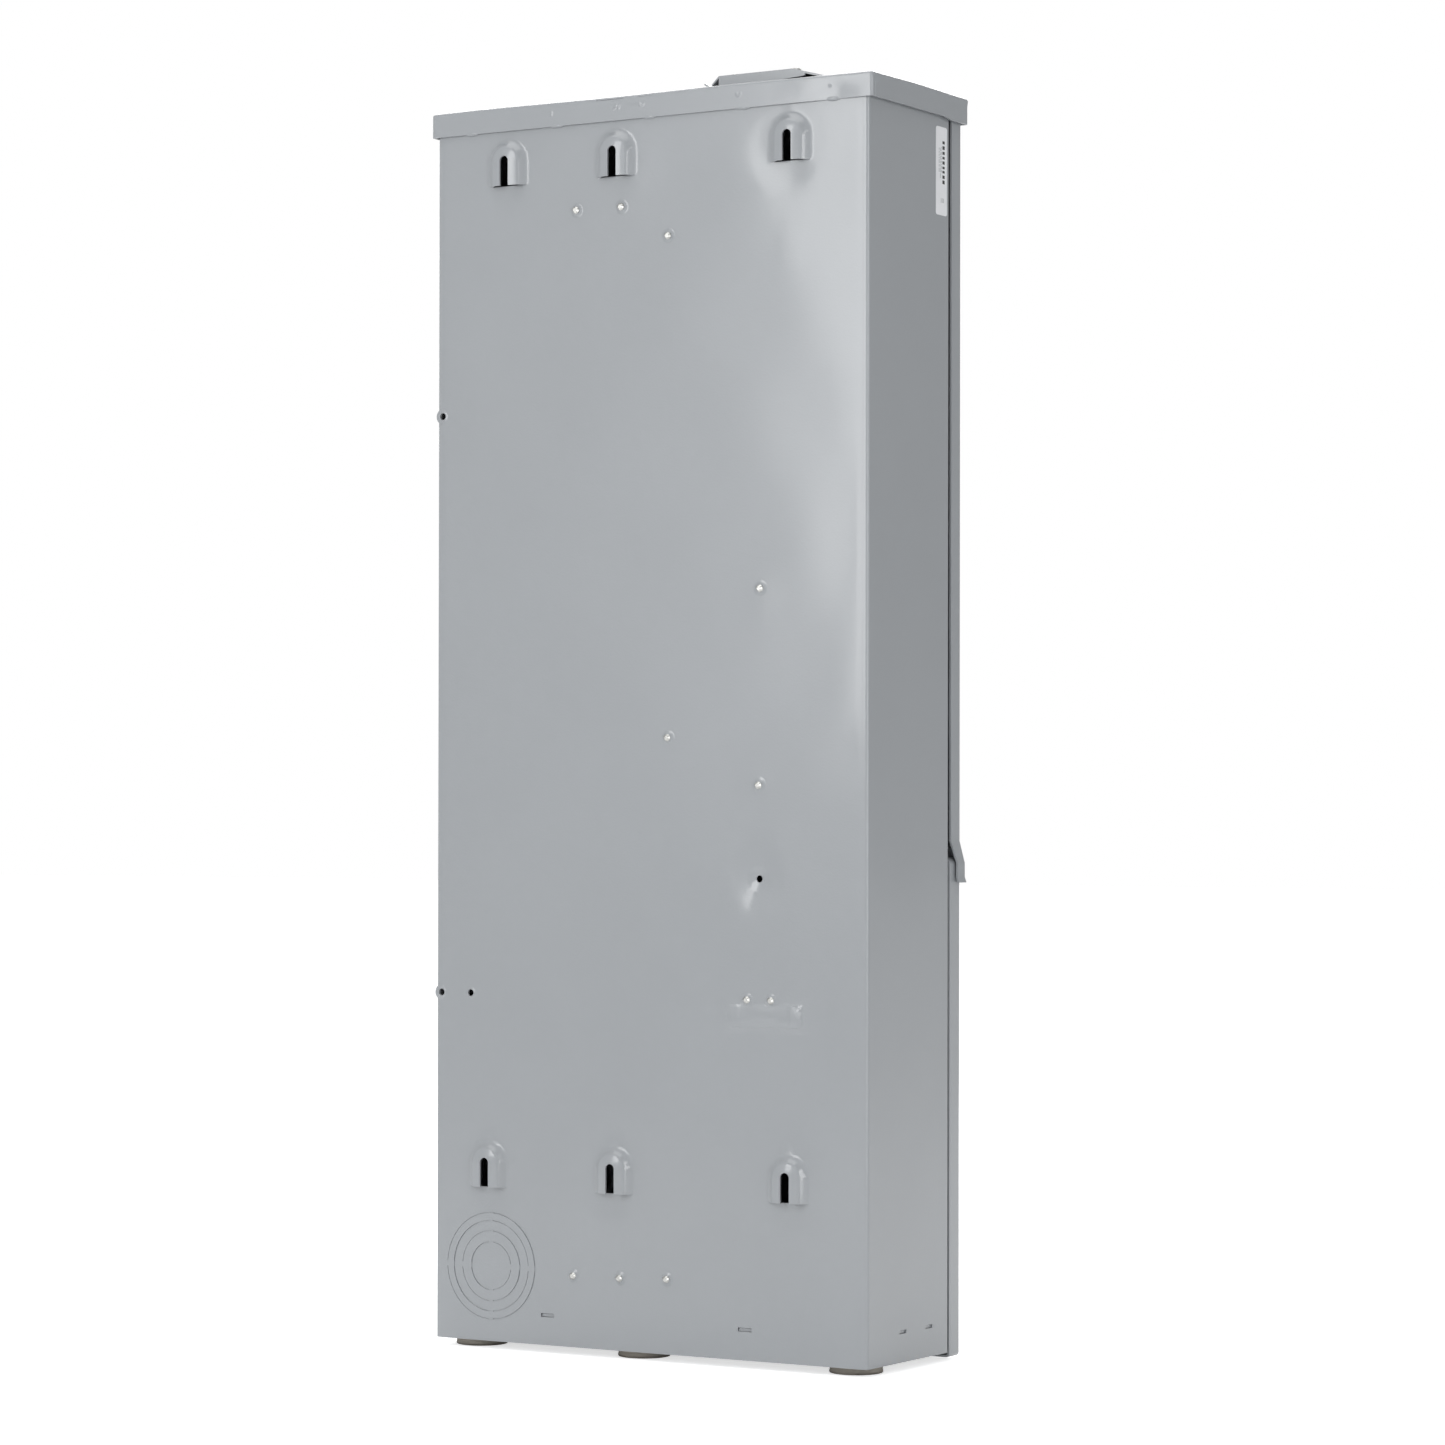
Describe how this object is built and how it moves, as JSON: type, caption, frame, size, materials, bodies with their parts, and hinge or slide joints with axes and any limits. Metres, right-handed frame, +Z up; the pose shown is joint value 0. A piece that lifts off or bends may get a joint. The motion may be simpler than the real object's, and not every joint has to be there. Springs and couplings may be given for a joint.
{
  "type": "rainproof breaker panel enclosure",
  "caption": "Wall-mounted rainproof breaker subpanel with hinged door, lift-off lower cover, closed hub opening and standoff wall feet.",
  "frame": {"origin": "on the ground under the middle of the object's bounding box", "axes": "+Z up, door faces -Y, wall feet face +Y, +X on the right of a person facing the door"},
  "size_m": [0.3736, 0.158, 0.9182],
  "materials": {
    "grey_paint": "satin light grey baked enamel with a faint orange peel",
    "galvanised": "dull galvanised sheet",
    "zinc_screw": "bright zinc plate",
    "green_screw": "green passivated steel",
    "bus_metal": "tin-plated aluminium",
    "lug_metal": "machined aluminium",
    "insulator": "red glass-polyester moulding",
    "breaker_black": "black moulded thermoset",
    "handle_black": "black moulded plastic",
    "filler_grey": "dark grey moulded plastic",
    "latch_plastic": "black moulded plastic",
    "gasket_rubber": "closed-cell rubber",
    "foot_rubber": "beige-grey rubber",
    "label_white": "white polyester label",
    "card_white": "white card"
  },
  "bodies": {
    "enclosure": {"back_box": "grey_paint", "bottom_endwall": "grey_paint", "top_cap": "grey_paint", "hub_closing_plate": "grey_paint", "upper_cover": "grey_paint", "door_hinge_leaves": "grey_paint", "padlock_hasp": "grey_paint", "dead_front": "grey_paint", "mid_rail": "galvanised", "interior_pan": "galvanised", "hub_screws": "zinc_screw", "upper_cover_screws": "zinc_screw", "dead_front_screws": "zinc_screw", "pan_screws": "zinc_screw", "ground_lug_screws": "zinc_screw", "ground_bar_mounting_screws": "zinc_screw", "binding_screws": "zinc_screw", "door_hinge_pins": "zinc_screw", "bonding_screw": "green_screw", "bus_bar_a": "bus_metal", "bus_bar_b": "bus_metal", "neutral_strap": "bus_metal", "line_lugs": "lug_metal", "feed_lugs": "lug_metal", "neutral_lug": "lug_metal", "ground_lug": "lug_metal", "lug_set_screws": "lug_metal", "neutral_bar_left": "lug_metal", "neutral_bar_right": "lug_metal", "ground_bar": "lug_metal", "bus_insulator": "insulator", "feed_lug_insulator": "insulator", "neutral_insulators": "insulator", "main_breaker_base": "insulator", "main_breaker_case": "breaker_black", "branch_case_1": "breaker_black", "branch_case_2": "breaker_black", "branch_case_3": "breaker_black", "branch_case_4": "breaker_black", "branch_case_5": "breaker_black", "branch_case_6": "breaker_black", "filler_plates": "filler_grey", "hub_gasket": "gasket_rubber", "feet": "foot_rubber", "side_label": "label_white"},
    "lower_cover": {"lower_cover": "grey_paint", "lower_cover_screw": "zinc_screw"},
    "door": {"door": "grey_paint", "latch_guide": "galvanised", "directory_card": "card_white"},
    "latch": {"door_latch": "latch_plastic"},
    "main_handle": {"main_breaker_handle": "handle_black"},
    "handle_1": {"branch_handle_1": "handle_black"},
    "handle_2": {"branch_handle_2": "handle_black"},
    "handle_3": {"branch_handle_3": "handle_black"},
    "handle_4": {"branch_handle_4": "handle_black"},
    "handle_5": {"branch_handle_5": "handle_black"},
    "handle_6": {"branch_handle_6": "handle_black"}
  },
  "joints": [
    {"name": "door_hinge", "type": "hinge", "parent": "enclosure", "child": "door", "pos_m": [0.154, -0.0669, 0.635], "axis": [0, 0, 1], "range_deg": [0, 135]},
    {"name": "latch_slide", "type": "slide", "parent": "door", "child": "latch", "axis": [1, 0, 0], "range_m": [0, 0.007], "stiffness_N_per_m": 300, "springref_m": -0.004},
    {"name": "lower_cover_tilt", "type": "hinge", "parent": "enclosure", "child": "lower_cover", "pos_m": [0, -0.0517, 0.35], "axis": [-1, 0, 0], "range_deg": [0, 12]},
    {"name": "main_handle_throw", "type": "hinge", "parent": "enclosure", "child": "main_handle", "pos_m": [0.021, -0.0352, 0.7225], "axis": [1, 0, 0], "range_deg": [0, 40]},
    {"name": "handle_1_throw", "type": "hinge", "parent": "enclosure", "child": "handle_1", "pos_m": [-0.006, -0.0372, 0.6026], "axis": [0, 0, -1], "range_deg": [0, 40]},
    {"name": "handle_2_throw", "type": "hinge", "parent": "enclosure", "child": "handle_2", "pos_m": [-0.006, -0.0372, 0.5645], "axis": [0, 0, -1], "range_deg": [0, 40]},
    {"name": "handle_3_throw", "type": "hinge", "parent": "enclosure", "child": "handle_3", "pos_m": [-0.006, -0.0372, 0.5391], "axis": [0, 0, -1], "range_deg": [0, 40]},
    {"name": "handle_4_throw", "type": "hinge", "parent": "enclosure", "child": "handle_4", "pos_m": [0.048, -0.0372, 0.6026], "axis": [0, 0, 1], "range_deg": [0, 40]},
    {"name": "handle_5_throw", "type": "hinge", "parent": "enclosure", "child": "handle_5", "pos_m": [0.048, -0.0372, 0.5645], "axis": [0, 0, 1], "range_deg": [0, 40]},
    {"name": "handle_6_throw", "type": "hinge", "parent": "enclosure", "child": "handle_6", "pos_m": [0.048, -0.0372, 0.5391], "axis": [0, 0, 1], "range_deg": [0, 40]}
  ]
}
